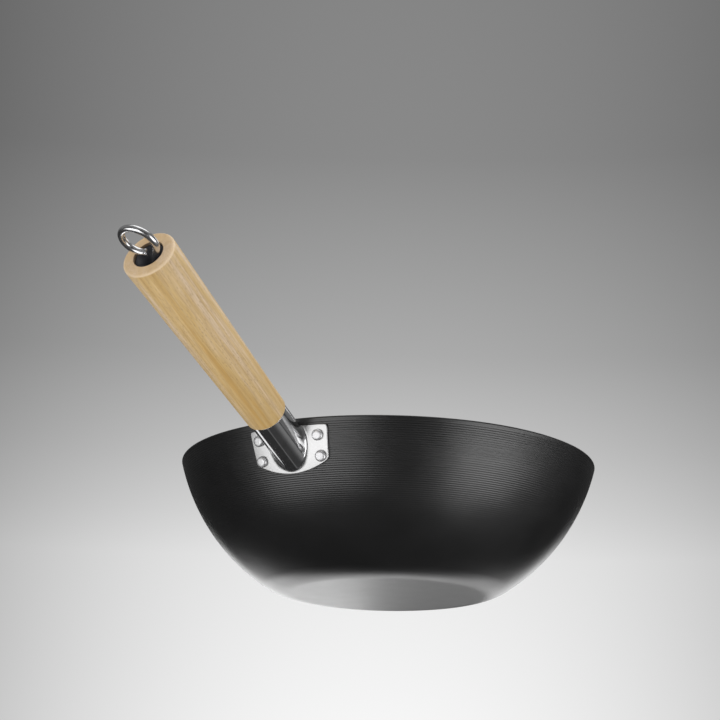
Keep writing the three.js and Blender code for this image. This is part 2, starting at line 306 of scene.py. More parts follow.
# Sizes that follow from the ones above.
rim_lean = math.radians(RIM_LEAN)
knee_lean = math.radians(KNEE_LEAN)
wall_height = WALL_ARC * (math.sin(knee_lean) - math.sin(rim_lean))
rim_height = wall_height + KNEE_ARC * (1 - math.sin(knee_lean))
wall_centre = Vector((RIM_RADIUS - WALL_ARC * math.cos(rim_lean),
                      rim_height + WALL_ARC * math.sin(rim_lean)))
knee_centre = Vector((wall_centre.x + (WALL_ARC - KNEE_ARC) * math.cos(knee_lean), KNEE_ARC))
eye_turn = next(joint for joint in frame["joints"] if joint["name"] == "eye_turn")
mouth = Vector(eye_turn["pos_m"])
axis = Vector(eye_turn["axis"]).normalized()
side = Vector((0, 1, 0))
under = side.cross(axis)
handle_matrix = Matrix.Translation(mouth) @ Matrix((under, side, axis)).transposed().to_4x4()
socket_radius = SOCKET_DIAMETER / 2
socket_bore = socket_radius - BRACKET_SHEET
rod_radius = ROD_DIAMETER / 2
rod_bore = rod_radius + ROD_CLEARANCE
eye_radius = EYE_DIAMETER / 2
neck = math.radians(NECK_ANGLE)
eye_centre = GRIP_LENGTH + EYE_HEIGHT
neck_corner = eye_centre - eye_radius / math.sin(neck)
dish_tip = neck_corner - (rod_radius + DISH_CLEARANCE) / math.sin(neck)
bush_top = GRIP_LENGTH - BUSH_SET_BACK
bush_bottom = bush_top - BUSH_LENGTH
dish_radius = (bush_top - dish_tip) * math.tan(neck)
bush_radius = dish_radius + BUSH_EDGE
pocket_radius = bush_radius + FIT


def clamp(value):
    """Value held between 0 and 1."""
    return min(max(value, 0), 1)


def direction(azimuth, elevation):
    """Unit vector. The azimuth runs from +X towards +Y."""
    turn, rise = math.radians(azimuth), math.radians(elevation)
    level = math.cos(rise)
    return Vector((math.cos(turn) * level, math.sin(turn) * level, math.sin(rise)))


def arc(centre, radius, start, end, steps):
    """Points of radius and height on an arc, both ends included."""
    angles = [start + (end - start) * i / steps for i in range(steps + 1)]
    return [Vector((centre[0] + radius * math.cos(a), centre[1] + radius * math.sin(a)))
            for a in angles]


def quarter(steps):
    """Angles from zero to a right angle, both included."""
    return [math.pi / 2 * i / steps for i in range(steps + 1)]


def bezier(start, middle, end, steps):
    """Points on a quadratic curve, both ends included."""
    places = [i / steps for i in range(steps + 1)]
    return [start * (1 - t) ** 2 + middle * (2 * t * (1 - t)) + end * t ** 2 for t in places]


def line(start, end, steps):
    """Points on a straight line, both ends included."""
    return [start.lerp(end, i / steps) for i in range(steps + 1)]


def add_object(name, data):
    """New object in the scene."""
    made = bpy.data.objects.new(name, data)
    bpy.context.scene.collection.objects.link(made)
    return made


def mesh_object(name, points, faces, sharp=SHARP_ANGLE, kinds=None):
    """New object with merged points, faces that point out and smooth shading up to an angle.

    The kinds number each face's material.
    """
    mesh = bpy.data.meshes.new(name)
    mesh.from_pydata([tuple(p) for p in points], [], faces)
    if kinds:
        mesh.polygons.foreach_set("material_index", kinds)
    shape = bmesh.new()
    shape.from_mesh(mesh)
    bmesh.ops.remove_doubles(shape, verts=shape.verts, dist=MERGE_DISTANCE)
    bmesh.ops.recalc_face_normals(shape, faces=shape.faces)
    shape.to_mesh(mesh)
    shape.free()
    mesh.shade_smooth()
    mesh.set_sharp_from_angle(angle=math.radians(sharp))
    return add_object(name, mesh)


def grid_faces(rows, columns, closed_rows=False, closed_columns=False):
    """Corner numbers of the squares in a grid of points that is listed row by row."""
    faces = []
    for r in range(rows if closed_rows else rows - 1):
        this_row, next_row = r * columns, (r + 1) % rows * columns
        for c in range(columns if closed_columns else columns - 1):
            next_c = (c + 1) % columns
            faces.append((this_row + c, this_row + next_c, next_row + next_c, next_row + c))
    return faces


def turned(name, profile, steps, closed=False, sharp=SHARP_ANGLE):
    """Body of revolution about Z from points of radius and height."""
    points = []
    for i in range(steps):
        angle = 2 * math.pi * i / steps
        points += [(p[0] * math.cos(angle), p[0] * math.sin(angle), p[1]) for p in profile]
    return mesh_object(name, points, grid_faces(steps, len(profile), True, closed), sharp)


def dress(piece, node, body, slot, *materials):
    """Makes a piece stand for a node, move with its body and wear its materials."""
    for material in materials:
        piece.data.materials.append(material)
    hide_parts(node)
    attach(piece, body)


class Tree:
    """Adds nodes to a node tree and links them."""

    def __init__(self, tree):
        self.tree = tree
        tree.nodes.clear()

    def fill(self, socket, value):
        """Gives an input a plain value or links it to a node's output."""
        if isinstance(value, bpy.types.NodeSocket):
            self.tree.links.new(value, socket)
        else:
            socket.default_value = value

    def add(self, kind, inputs=None, **settings):
        """New node. The inputs go by name or number."""
        node = self.tree.nodes.new(kind)
        for key, value in settings.items():
            setattr(node, key, value)
        for key, value in (inputs or {}).items():
            self.fill(node.inputs[key], value)
        return node

    def math(self, operation, *values):
        """Result of one operation."""
        node = self.add("ShaderNodeMath", dict(enumerate(values)), operation=operation)
        return node.outputs["Value"]

    def weighted(self, first, first_weight, second, second_weight):
        """Sum of two values, each times its weight."""
        return self.math("ADD", self.math("MULTIPLY", first, first_weight),
                         self.math("MULTIPLY", second, second_weight))

    def axes(self, place):
        """The three parts of a position or direction."""
        return self.add("ShaderNodeSeparateXYZ", {"Vector": place}).outputs

    def spread(self, value, span, results):
        """Maps a value from one range to another and holds it at the ends."""
        names = ("From Min", "From Max", "To Min", "To Max")
        inputs = {"Value": value, **dict(zip(names, (*span, *results)))}
        return self.add("ShaderNodeMapRange", inputs).outputs["Result"]

    def ramp(self, value, stops):
        """Colour that follows a value. Each stop is a place and a colour."""
        node = self.add("ShaderNodeValToRGB", {"Fac": value})
        elements = node.color_ramp.elements
        while len(elements) < len(stops):
            elements.new(0.5)
        for element, (place, colour) in zip(elements, stops):
            element.position = place
            element.color = (*colour, 1)
        return node.outputs["Color"]

    def choose(self, factor, first, second):
        """Shader that passes from the first to the second."""
        inputs = {"Fac": factor, 1: first.outputs[0], 2: second.outputs[0]}
        return self.add("ShaderNodeMixShader", inputs)


class Material(Tree):
    """Material with one main shader."""

    def __init__(self, name):
        self.material = bpy.data.materials.new(name)
        self.material.use_nodes = True
        super().__init__(self.material.node_tree)
        self.shader = self.add("ShaderNodeBsdfPrincipled")
        surface = {"Surface": self.shader.outputs["BSDF"]}
        self.output = self.add("ShaderNodeOutputMaterial", surface)

    def set(self, **values):
        """Fills inputs of the shader, with spaces in their names as underscores."""
        for key, value in values.items():
            self.fill(self.shader.inputs[key.replace("_", " ")], value)

    def place(self, scale=(1, 1, 1)):
        """Position in the object's own axes, scaled."""
        coordinate = self.add("ShaderNodeTexCoord")
        inputs = {"Vector": coordinate.outputs["Object"], "Scale": scale}
        return self.add("ShaderNodeMapping", inputs).outputs["Vector"]

    def noise(self, place, scale=1.0, detail=3, roughness=0.5, distortion=0.0):
        """Noise between 0 and 1."""
        inputs = {"Vector": place, "Scale": scale, "Detail": detail, "Roughness": roughness,
                  "Distortion": distortion}
        return self.add("ShaderNodeTexNoise", inputs).outputs["Fac"]

    def mix(self, factor, colour, other):
        """Colour that passes to another by a factor. The Mix node's colours go by number."""
        inputs = {0: factor, 6: colour, 7: (*other, 1)}
        return self.add("ShaderNodeMix", inputs, data_type="RGBA").outputs[2]

    def bump(self, height, distance, strength=1.0):
        """Fine relief."""
        inputs = {"Height": height, "Distance": distance, "Strength": strength}
        self.set(Normal=self.add("ShaderNodeBump", inputs).outputs["Normal"])


def black_steel(name, rings):
    """Satin black coat with fine mottling. The inside also has shallow turned rings."""
    nodes = Material(name)
    place = nodes.place()
    mottle = nodes.noise(place, COAT_MOTTLE, detail=4)
    fine = nodes.noise(place, COAT_GRAIN, detail=2)
    nodes.set(Base_Color=nodes.ramp(mottle, COAT_COLOURS),
              Roughness=nodes.spread(mottle, WHOLE, COAT_ROUGHNESS),
              Specular_IOR_Level=COAT_SPECULAR)
    if rings:
        x, y, z = nodes.axes(place)
        radius = nodes.math("SQRT", nodes.weighted(x, x, y, y))
        turn = nodes.math("ARCTAN2", nodes.math("SUBTRACT", radius, wall_centre.x),
                          nodes.math("SUBTRACT", wall_centre.y, z))
        rings_per_radian = WALL_ARC / GROOVE_PITCH
        wave = nodes.math("SINE", nodes.math("MULTIPLY", turn, 2 * math.pi * rings_per_radian))
        height = nodes.math("ADD", wave, nodes.math("MULTIPLY", fine, RING_GRAIN_SHARE))
        nodes.bump(height, RING_BUMP)
    else:
        nodes.bump(fine, COAT_BUMP)
    return nodes.material


def bright_steel(name):
    """One of the bright steels, with faint cloudiness and brushing."""
    roughness, colour, brush = STEELS[name]
    nodes = Material(name)
    cloud = nodes.noise(nodes.place(), STEEL_CLOUD, detail=4)
    strokes = nodes.noise(nodes.place(brush), roughness=0.6)
    mean = nodes.math("MULTIPLY", nodes.math("ADD", cloud, strokes), 0.5)
    shade = tuple(part * STEEL_SHADE for part in colour)
    nodes.set(Base_Color=nodes.ramp(cloud, list(zip(STEEL_CLOUD_SPAN, (shade, colour)))),
              Roughness=nodes.spread(mean, NOISE_SPAN, roughness),
              Metallic=1.0)
    nodes.bump(strokes, STEEL_BUMP)
    return nodes.material


def pale_wood():
    """Straight-grained pale wood with bands, dark lines, fibres and short pores, painted shade on
    one side, painted highlights on the rounded edges at both ends and painted shade at the
    pocket's edge.
    """
    nodes = Material("pale_wood")
    x, y, along = nodes.axes(nodes.place())

    def grain(across, lengthwise, detail, roughness, distortion):
        place = nodes.place((across, across, lengthwise))
        return nodes.noise(place, 1.0, detail, roughness, distortion)

    drift, bands, streaks, ridges, fibres = [
        grain(*kind) for kind in (WOOD_DRIFT, WOOD_BANDS, WOOD_STREAKS, WOOD_RIDGES, WOOD_FIBRES)
    ]
    # Painted shade on one side of the grip and a faint painted light on the other, added to the
    # tone.
    sideways = nodes.weighted(x, WOOD_SHADE_SIDE[0], y, WOOD_SHADE_SIDE[1])
    tone = nodes.math(
        "ADD",
        nodes.weighted(bands, WOOD_BAND_SHARE, streaks, WOOD_STREAK_SHARE),
        nodes.spread(sideways, WOOD_SHADE_PLACES, WOOD_SHADE_TONES),
    )
    colour = nodes.ramp(tone, WOOD_COLOURS)

    # Thin lines where the ridge noise passes its middle, stronger in some places.
    ridge = nodes.math("ABSOLUTE", nodes.math("SUBTRACT", ridges, 0.5))
    lines = nodes.math(
        "MULTIPLY",
        nodes.spread(ridge, (0, LINE_WIDTH), (LINE_STRENGTH, 0)),
        nodes.spread(drift, LINE_DRIFT_SPAN, LINE_DRIFT_SHARES),
    )
    colour = nodes.mix(lines, colour, LINE_COLOUR)
    colour = nodes.mix(nodes.spread(fibres, FIBRE_SPAN, (0, FIBRE_STRENGTH)), colour, FIBRE_COLOUR)

    # Short dark pores, mostly in the paler bands.
    cells = nodes.add("ShaderNodeTexVoronoi", {"Vector": nodes.place(WOOD_PORES), "Scale": 1.0},
                      feature="F1")
    pores = nodes.math(
        "MULTIPLY",
        nodes.spread(cells.outputs["Distance"], PORE_SPAN, (1, 0)),
        nodes.spread(bands, PORE_BAND_SPAN, PORE_STRENGTHS),
    )
    colour = nodes.mix(pores, colour, PORE_COLOUR)
    nodes.set(Base_Color=end_grain_and_painted_light(nodes, colour, x, y, along),
              Roughness=nodes.spread(streaks, NOISE_SPAN, WOOD_ROUGHNESS),
              Specular_IOR_Level=WOOD_SPECULAR)
    height = nodes.math("SUBTRACT", nodes.math("MULTIPLY", fibres, WOOD_FIBRE_HEIGHT), pores)
    nodes.bump(height, WOOD_BUMP, WOOD_BUMP_STRENGTH)
    return nodes.material


def end_grain_and_painted_light(nodes, colour, x, y, along):
    """Colour with the end face, painted highlights on the rounded edges at both ends and painted
    shade at the edge of the pocket.
    """
    round_start = GRIP_LENGTH - GRIP_END_ROUND
    end_span = (round_start, round_start + GRIP_END_ROUND * END_RISE)
    colour = nodes.mix(nodes.spread(along, end_span, (0, END_STRENGTH)), colour, END_COLOUR)
    # Painted highlight: paler colour on the rounding of the wide end and on the shoulder's
    # rounding.
    highlight_rise_span = (round_start, round_start + GRIP_END_ROUND * EDGE_HIGHLIGHT_RISE)
    highlight_fall_span = (round_start + GRIP_END_ROUND * EDGE_HIGHLIGHT_FALL, GRIP_LENGTH)
    edge = nodes.math("MULTIPLY", nodes.spread(along, highlight_rise_span, (0, EDGE_HIGHLIGHT_STRENGTH)),
                      nodes.spread(along, highlight_fall_span, (1, 0)))
    shoulder = nodes.spread(along, (0, GRIP_SHOULDER_ROUND), (EDGE_HIGHLIGHT_STRENGTH, 0))
    colour = nodes.mix(nodes.math("ADD", edge, shoulder), colour, EDGE_HIGHLIGHT_COLOUR)
    # Painted shade at the pocket's rounded edge, darkest next to the pocket.
    radius = nodes.math("SQRT", nodes.weighted(x, x, y, y))
    pocket_shade_span = (pocket_radius + POCKET_EDGE * POCKET_SHADE_FALL, pocket_radius + POCKET_EDGE)
    return nodes.mix(nodes.spread(radius, pocket_shade_span, (POCKET_SHADE_STRENGTH, 0)), colour, POCKET_SHADE_COLOUR)


def black_plastic():
    """Moulded matt black with a fine grain."""
    nodes = Material("black_plastic")
    grain = nodes.noise(nodes.place(), PLASTIC_GRAIN)
    cloud = nodes.noise(nodes.place(), PLASTIC_CLOUD)
    nodes.set(Base_Color=nodes.ramp(cloud, PLASTIC_COLOURS),
              Roughness=nodes.spread(grain, WHOLE, PLASTIC_ROUGHNESS))
    nodes.bump(grain, PLASTIC_BUMP)
    return nodes.material


def groove_share(along, length):
    """Share of a groove's depth at a distance below the rim: none at the rim, less low down."""
    start = clamp((along - GROOVE_RIM_GAP) / GROOVE_PITCH)
    fade = clamp((along / length - GROOVE_FADE_START) / GROOVE_FADE_LENGTH)
    return start * (1 - GROOVE_FADE * fade)


def grooved_wall():
    """Outside of the wall as points of radius and height, from the knee up to the rim."""
    draws = random.Random(GROOVE_SEED)
    length = WALL_ARC * (knee_lean - rim_lean)
    count = round(length / GROOVE_PITCH)
    depths = [GROOVE_DEPTH * draws.uniform(*GROOVE_DEPTH_SHARES) for _ in range(count + 1)]
    wall = []
    for i in range(count * GROOVE_POINTS + 1):
        groove = i / GROOVE_POINTS
        along = length - groove * length / count
        wave = 0.5 - 0.5 * math.cos(2 * math.pi * groove)
        reach = WALL_ARC - depths[int(groove)] * groove_share(along, length) * wave
        lean = knee_lean - groove / count * (knee_lean - rim_lean)
        wall.append(wall_centre + Vector((reach * math.cos(lean), -reach * math.sin(lean))))
    return wall


def wok_bowl():
    """Spun bowl: flat base, round knee, grooved wall, rounded rim and a smooth inside."""
    edge = BOWL_SHEET / 2
    rim = wall_centre + Vector((math.cos(rim_lean), -math.sin(rim_lean))) * (WALL_ARC - edge)
    knee = arc(knee_centre, KNEE_ARC, -math.pi / 2, -knee_lean, KNEE_STEPS)
    over_rim = arc(rim, edge, -rim_lean, math.pi - rim_lean, RIM_STEPS)
    inner_wall = arc(wall_centre, WALL_ARC - BOWL_SHEET, -rim_lean, -knee_lean, WALL_STEPS)
    inner_knee = arc(knee_centre, KNEE_ARC - BOWL_SHEET, -knee_lean, -math.pi / 2, KNEE_STEPS)
    profile = [
        *line(Vector((0, 0)), knee[0], BASE_STEPS)[:-1], *knee[:-1], *grooved_wall(),
        *over_rim[1:-1], *inner_wall[:-1], *inner_knee,
        *line(inner_knee[-1], Vector((0, BOWL_SHEET)), BASE_STEPS)[1:],
    ]
    bowl = turned("wok_bowl", profile, BOWL_STEPS, sharp=BOWL_SHARP_ANGLE)
    first_inside = rim_height - BOWL_SHEET
    for face in bowl.data.polygons:
        place = Vector((math.hypot(face.center.x, face.center.y), face.center.z))
        on_wall = (place - wall_centre).length < WALL_ARC - edge and place.y < first_inside
        on_floor = place.y < KNEE_ARC and face.normal.z > 0
        face.material_index = 1 if on_wall or on_floor else 0
    dress(bowl, "wok_body", "pan", "black_steel", black_steel("black_steel_outside", False),
          black_steel("black_steel_inside", True))


def wall_point(across, drop, offset):
    """Point at a place across and a drop below the rim, at an offset from the outer wall."""
    height = rim_height - drop
    reach = WALL_ARC + offset
    radius = wall_centre.x + math.sqrt(reach ** 2 - (height - wall_centre.y) ** 2)
    return Vector((math.sqrt(radius ** 2 - across ** 2), across, height))


def tube_point(angle, along):
    """Point on the socket tube, by the angle from its top towards +Y and the place along it."""
    out = side * math.sin(angle) - under * math.cos(angle)
    return mouth + axis * along + out * socket_radius


def solve(function, low, high):
    """Place where a rising function passes zero."""
    for _ in range(SOLVE_ROUNDS):
        middle = (low + high) / 2
        if function(middle) < 0:
            low = middle
        else:
            high = middle
    return (low + high) / 2


def junction(angle, offset):
    """Place along the tube where a line on it comes within an offset of the wall."""
    def gap(along):
        point = tube_point(angle, along)
        flat = Vector((math.hypot(point.x, point.y), point.z))
        return (flat - wall_centre).length - WALL_ARC - offset
    return solve(gap, -2 * SOCKET_DIAMETER - BEND_SIZE, 0)


def plate_outline():
    """The plate's outline across and down, from one upper corner round the bottom to the other."""
    top = Vector((PLATE_TOP_WIDTH / 2, PLATE_TOP_DROP))
    low = Vector((PLATE_CORNER_WIDTH / 2, PLATE_CORNER_DROP))
    belly = Vector((0, 2 * PLATE_BOTTOM_DROP - PLATE_CORNER_DROP))

    def toward(start, end):
        return start + (end - start).normalized() * PLATE_CORNER_ROUND

    right = [
        *bezier(toward(top, Vector((0, PLATE_TOP_DROP))), top, toward(top, low), CORNER_STEPS),
        *line(toward(top, low), toward(low, top), PLATE_SIDE_STEPS)[1:],
        *bezier(toward(low, top), low, toward(low, belly), CORNER_STEPS)[1:],
    ]
    left = [Vector((-p.x, p.y)) for p in reversed(right)]
    bottom = bezier(right[-1], belly, left[0], PLATE_BOTTOM_STEPS)[1:-1]
    return [*right, *bottom, *left]


def tube_line(angle, end):
    """Points along the tube from its mouth to an end.

    The first step is short, which keeps the shading of the mouth's edge crisp.
    """
    first = -FIT - 2 * TUBE_EDGE
    steps = TUBE_STEPS - 1
    places = [-FIT, *(end + (first - end) * (1 - i / steps) for i in range(TUBE_STEPS))]
    return [tube_point(angle, along) for along in places]


def bracket_line(place, angle, offset):
    """Points down the tube at an angle, round the bend and out to a place on the outline."""
    along = junction(angle, offset)
    corner = tube_point(angle, along)
    foot = Vector((corner.y, rim_height - corner.z))
    bend = min(BEND_SIZE, BEND_SHARE * (place - foot).length)
    outward = foot + (place - foot).normalized() * bend
    edge_row = min(EDGE_ROW * PLATE_EDGE / (place - outward).length, EDGE_ROW_SHARE)
    tube = tube_line(angle, along + bend)
    curve = bezier(tube[-1], corner, wall_point(outward.x, outward.y, offset), BEND_STEPS)
    flat = [*line(outward, place.lerp(outward, edge_row), PLATE_STEPS - 1)[1:], place]
    return [*tube, *curve[1:], *(wall_point(p.x, p.y, offset) for p in flat)]


def tube_top(start, bend_end, offset):
    """Points along the top of the tube, which has no plate.

    Its middle part ends at the wall, and towards the sides it ends where the bend begins.
    """
    points = []
    for i in range(TOP_STEPS + 1):
        share = 1 - 2 * i / TOP_STEPS
        angle = start * share
        aside = clamp((abs(share) - TOP_END_SHARE) / (1 - TOP_END_SHARE)) ** 2
        at_wall, at_bend = junction(angle, 2 * FIT), junction(angle, offset) + bend_end
        points += tube_line(angle, at_wall * (1 - aside) + at_bend * aside)
    return points


def socket_bracket():
    """One pressed sheet: the tube, the bend at its foot, and the plate that follows the wall.

    The tube and the inner half of the bend are polished, the rest is satin.
    """
    offset = FIT + BRACKET_SHEET
    outline = plate_outline()
    middle = (PLATE_TOP_DROP + PLATE_BOTTOM_DROP) / 2
    least_angle, most_angle = 0.1, math.pi / 2

    def below_plate_top(angle):
        return rim_height - tube_point(angle, junction(angle, offset)).z - PLATE_TOP_DROP

    def turn_of(place):
        return math.atan2(place.x, middle - place.y) % (2 * math.pi)

    start = solve(below_plate_top, least_angle, most_angle)
    first, last = turn_of(outline[0]), turn_of(outline[-1])
    points = []
    for place in outline:
        share = (turn_of(place) - first) / (last - first)
        points += bracket_line(place, start + (2 * math.pi - 2 * start) * share, offset)
    columns = TUBE_STEPS + BEND_STEPS + PLATE_STEPS
    polished = TUBE_STEPS + BEND_STEPS // 2
    faces = grid_faces(len(outline), columns + 1)
    kinds = [0 if n % columns < polished else 1 for n in range(len(faces))]
    bend_end = (points[TUBE_STEPS] - mouth).dot(axis) - junction(start, offset)
    count = len(points)
    points += tube_top(start, bend_end, offset)
    top = [tuple(count + n for n in face) for face in grid_faces(TOP_STEPS + 1, TUBE_STEPS + 1)]
    bracket = mesh_object("socket_bracket", points, faces + top, kinds=kinds + [0] * len(top))
    if bracket.data.polygons[0].normal.dot(tube_point(start, 0) - mouth) < 0:
        bracket.data.flip_normals()
    shell = bracket.modifiers.new("sheet", "SOLIDIFY")
    shell.thickness = BRACKET_SHEET
    shell.offset = -1
    shell.use_even_offset = True
    round_edges(bracket)
    dress(bracket, "handle_bracket", "pan", "bright_steel", bright_steel("polished_steel"),
          bright_steel("satin_steel"))


def apply_modifiers(piece):
    """Makes what a piece's modifiers do part of its mesh."""
    graph = bpy.context.evaluated_depsgraph_get()
    mesh = bpy.data.meshes.new_from_object(piece.evaluated_get(graph))
    piece.modifiers.clear()
    piece.data = mesh


def round_edges(bracket):
    """Rounds the bracket's sharp edges, the plate's more than the tube's."""
    apply_modifiers(bracket)
    shape = bmesh.new()
    shape.from_mesh(bracket.data)
    weight = shape.edges.layers.float.new("bevel_weight_edge")
    for edge in shape.edges:
        if len(edge.link_faces) == 2 and edge.calc_face_angle() > math.radians(EDGE_ANGLE):
            middle = (edge.verts[0].co + edge.verts[1].co) / 2 - mouth
            reach = (middle - axis * middle.dot(axis)).length
            on_plate = reach > socket_radius + BEND_SIZE / 2
            edge[weight] = 1 if on_plate else TUBE_EDGE / PLATE_EDGE
    shape.to_mesh(bracket.data)
    shape.free()
    bevel = bracket.modifiers.new("edges", "BEVEL")
    bevel.limit_method = "WEIGHT"
    bevel.width = PLATE_EDGE
    bevel.segments = EDGE_STEPS
    bevel.use_clamp_overlap = False
    apply_modifiers(bracket)
    bracket.data.shade_smooth()
    bracket.data.set_sharp_from_angle(angle=math.radians(SHARP_ANGLE))


def rivets():
    """Four rivets: a domed outer head, a shank and a flatter inner head."""
    steel = bright_steel("rivet_steel")
    shank, head = RIVET_SHANK_DIAMETER / 2, RIVET_HEAD_DIAMETER / 2
    inner = RIVET_INNER_DIAMETER / 2
    seat = 2 * FIT + BRACKET_SHEET
    inner_seat = -BOWL_SHEET - FIT
    crown = RIVET_HEAD_HEIGHT - RIVET_SIDE
    foot = RIVET_SIDE * RIVET_FOOT
    dome = [Vector((head * math.cos(a) ** RIVET_HEAD_POWER,
                    seat + RIVET_SIDE + crown * math.sin(a)))
            for a in quarter(RIVET_HEAD_STEPS)]
    low = [Vector((inner * math.sin(a) ** RIVET_INNER_POWER,
                   inner_seat - RIVET_INNER_HEIGHT * math.cos(a)))
           for a in quarter(RIVET_INNER_STEPS)]
    profile = [
        *low, Vector((shank, inner_seat)), Vector((shank, seat)), Vector((head - foot, seat)),
        Vector((head, seat + foot)), *dome,
    ]
    for level, drop in (("upper", RIVET_UPPER_DROP), ("lower", RIVET_LOWER_DROP)):
        for hand, sign in (("left", -1), ("right", 1)):
            name = f"rivet_{level}_{hand}"
            place = wall_point(sign * RIVET_SPACING / 2, drop, 0)
            lean = math.asin(math.sin(rim_lean) + drop / WALL_ARC)
            level_out = Vector((place.x, place.y, 0)).normalized() * math.cos(lean)
            normal = level_out - Vector((0, 0, math.sin(lean)))
            turn = normal.to_track_quat("Z", "Y").to_matrix().to_4x4()
            made = turned(f"{name}_head", profile, RIVET_STEPS)
            made.matrix_world = Matrix.Translation(place) @ turn
            dress(made, name, "pan", "rivet_steel", steel)


def wooden_grip():
    """Turned grip with a tenon, a bore for the rod and a pocket for the bush."""
    narrow, wide = GRIP_NARROW_DIAMETER / 2, GRIP_WIDE_DIAMETER / 2
    tenon = socket_bore - FIT
    right_angle = math.pi / 2
    shoulder = arc((narrow - GRIP_SHOULDER_ROUND, GRIP_SHOULDER_ROUND), GRIP_SHOULDER_ROUND,
                   -right_angle, 0, GRIP_SHOULDER_STEPS)
    end = arc((wide - GRIP_END_ROUND, GRIP_LENGTH - GRIP_END_ROUND), GRIP_END_ROUND,
              0, right_angle, GRIP_END_STEPS)
    pocket_edge = arc((pocket_radius + POCKET_EDGE, GRIP_LENGTH - POCKET_EDGE), POCKET_EDGE,
                      right_angle, math.pi, POCKET_EDGE_STEPS)
    profile = [
        Vector((rod_bore, -TENON_LENGTH)), Vector((tenon - TENON_CHAMFER, -TENON_LENGTH)),
        Vector((tenon, TENON_CHAMFER - TENON_LENGTH)), Vector((tenon, 0)),
        *shoulder[:-1], *line(shoulder[-1], end[0], GRIP_SIDE_STEPS), *end[1:], *pocket_edge,
        Vector((pocket_radius, bush_bottom - FIT)), Vector((rod_bore, bush_bottom - FIT)),
    ]
    grip = turned("turned_grip", profile, GRIP_STEPS, closed=True)
    grip.matrix_world = handle_matrix
    dress(grip, "wooden_grip", "pan", "pale_wood", pale_wood())


def end_bush():
    """Black bush with a cone-shaped dish that the eye's neck turns in."""
    round_top = arc((bush_radius - BUSH_ROUND, bush_top - BUSH_ROUND), BUSH_ROUND,
                    0, math.pi / 2, BUSH_ROUND_STEPS)
    profile = [
        Vector((rod_bore, bush_bottom)), Vector((bush_radius - BUSH_ROUND, bush_bottom)),
        Vector((bush_radius, bush_bottom + BUSH_ROUND)), *round_top,
        Vector((dish_radius + BUSH_ROUND, bush_top)),
        Vector((dish_radius - BUSH_ROUND * math.sin(neck),
                bush_top - BUSH_ROUND * math.cos(neck))),
        Vector((rod_bore, dish_tip + rod_bore / math.tan(neck))),
    ]
    bush = turned("black_bush", profile, BUSH_STEPS, closed=True)
    bush.matrix_world = handle_matrix
    dress(bush, "end_bush", "bush", "black_plastic", black_plastic())


def eye_path():
    """Centre line of the rod as places across and along, each with its direction."""
    bend_start = neck_corner - NECK_BEND * math.tan(neck / 2)
    path = []
    for i in range(SHANK_STEPS):
        place = Vector((0, ROD_END + (bend_start - ROD_END) * i / SHANK_STEPS))
        path.append((place, Vector((0, 1))))
    for i in range(NECK_STEPS + 1):
        angle = neck * i / NECK_STEPS
        place = Vector((NECK_BEND * (1 - math.cos(angle)),
                        bend_start + NECK_BEND * math.sin(angle)))
        path.append((place, Vector((math.sin(angle), math.cos(angle)))))
    first, last = math.pi / 2 - neck, math.radians(EYE_END_ANGLE)
    close = math.radians(EYE_CLOSE_ANGLE)
    for i in range(EYE_STEPS + 1):
        angle = first + (last - first) * i / EYE_STEPS
        closing = max(0, (angle - close) / (last - close))
        reach = eye_radius - EYE_END_LIFT * closing ** 2
        shrink = 2 * EYE_END_LIFT * closing / (last - close)
        outward = Vector((math.sin(angle), -math.cos(angle)))
        onward = Vector((math.cos(angle), math.sin(angle))) * reach - outward * shrink
        path.append((outward * reach + Vector((0, eye_centre)), onward.normalized()))
    return path


def hanging_eye():
    """Bright rod: a shank down the grip, a neck bent sideways and a loop with a cut end."""
    path = eye_path()
    narrow = rod_radius - ROD_CHAMFER
    sections = [
        (path[0], narrow, 0.0), (path[0], rod_radius, ROD_CHAMFER),
        *((station, rod_radius, 0.0) for station in path[1:-1]),
        (path[-1], rod_radius, -ROD_CHAMFER), (path[-1], narrow, 0.0),
    ]
    points = []
    for (place, onward), radius, shift in sections:
        centre = place + onward * shift
        for i in range(ROD_STEPS):
            angle = 2 * math.pi * i / ROD_STEPS
            across = radius * math.cos(angle)
            points.append((radius * math.sin(angle), centre.x + onward.y * across,
                           centre.y - onward.x * across))
    faces = grid_faces(len(sections), ROD_STEPS, closed_columns=True)
    last_ring = (len(sections) - 1) * ROD_STEPS
    faces += [tuple(ring + i for i in range(ROD_STEPS)) for ring in (0, last_ring)]
    eye = mesh_object("hanging_eye", points, faces)
    eye.matrix_world = handle_matrix @ Matrix.Rotation(math.radians(EYE_TURN), 4, "Z")
    dress(eye, "eye_rod", "eye", "eye_steel", bright_steel("plated_steel"))


def hidden_steel():
    """Finish for the anchor plate and the nut inside the socket, which keep their solids."""
    steel = bright_steel("plain_steel")
    for name in ("anchor_plate", "weld_nut"):
        materials = frame["nodes"][name].data.materials
        materials.clear()
        materials.append(steel)


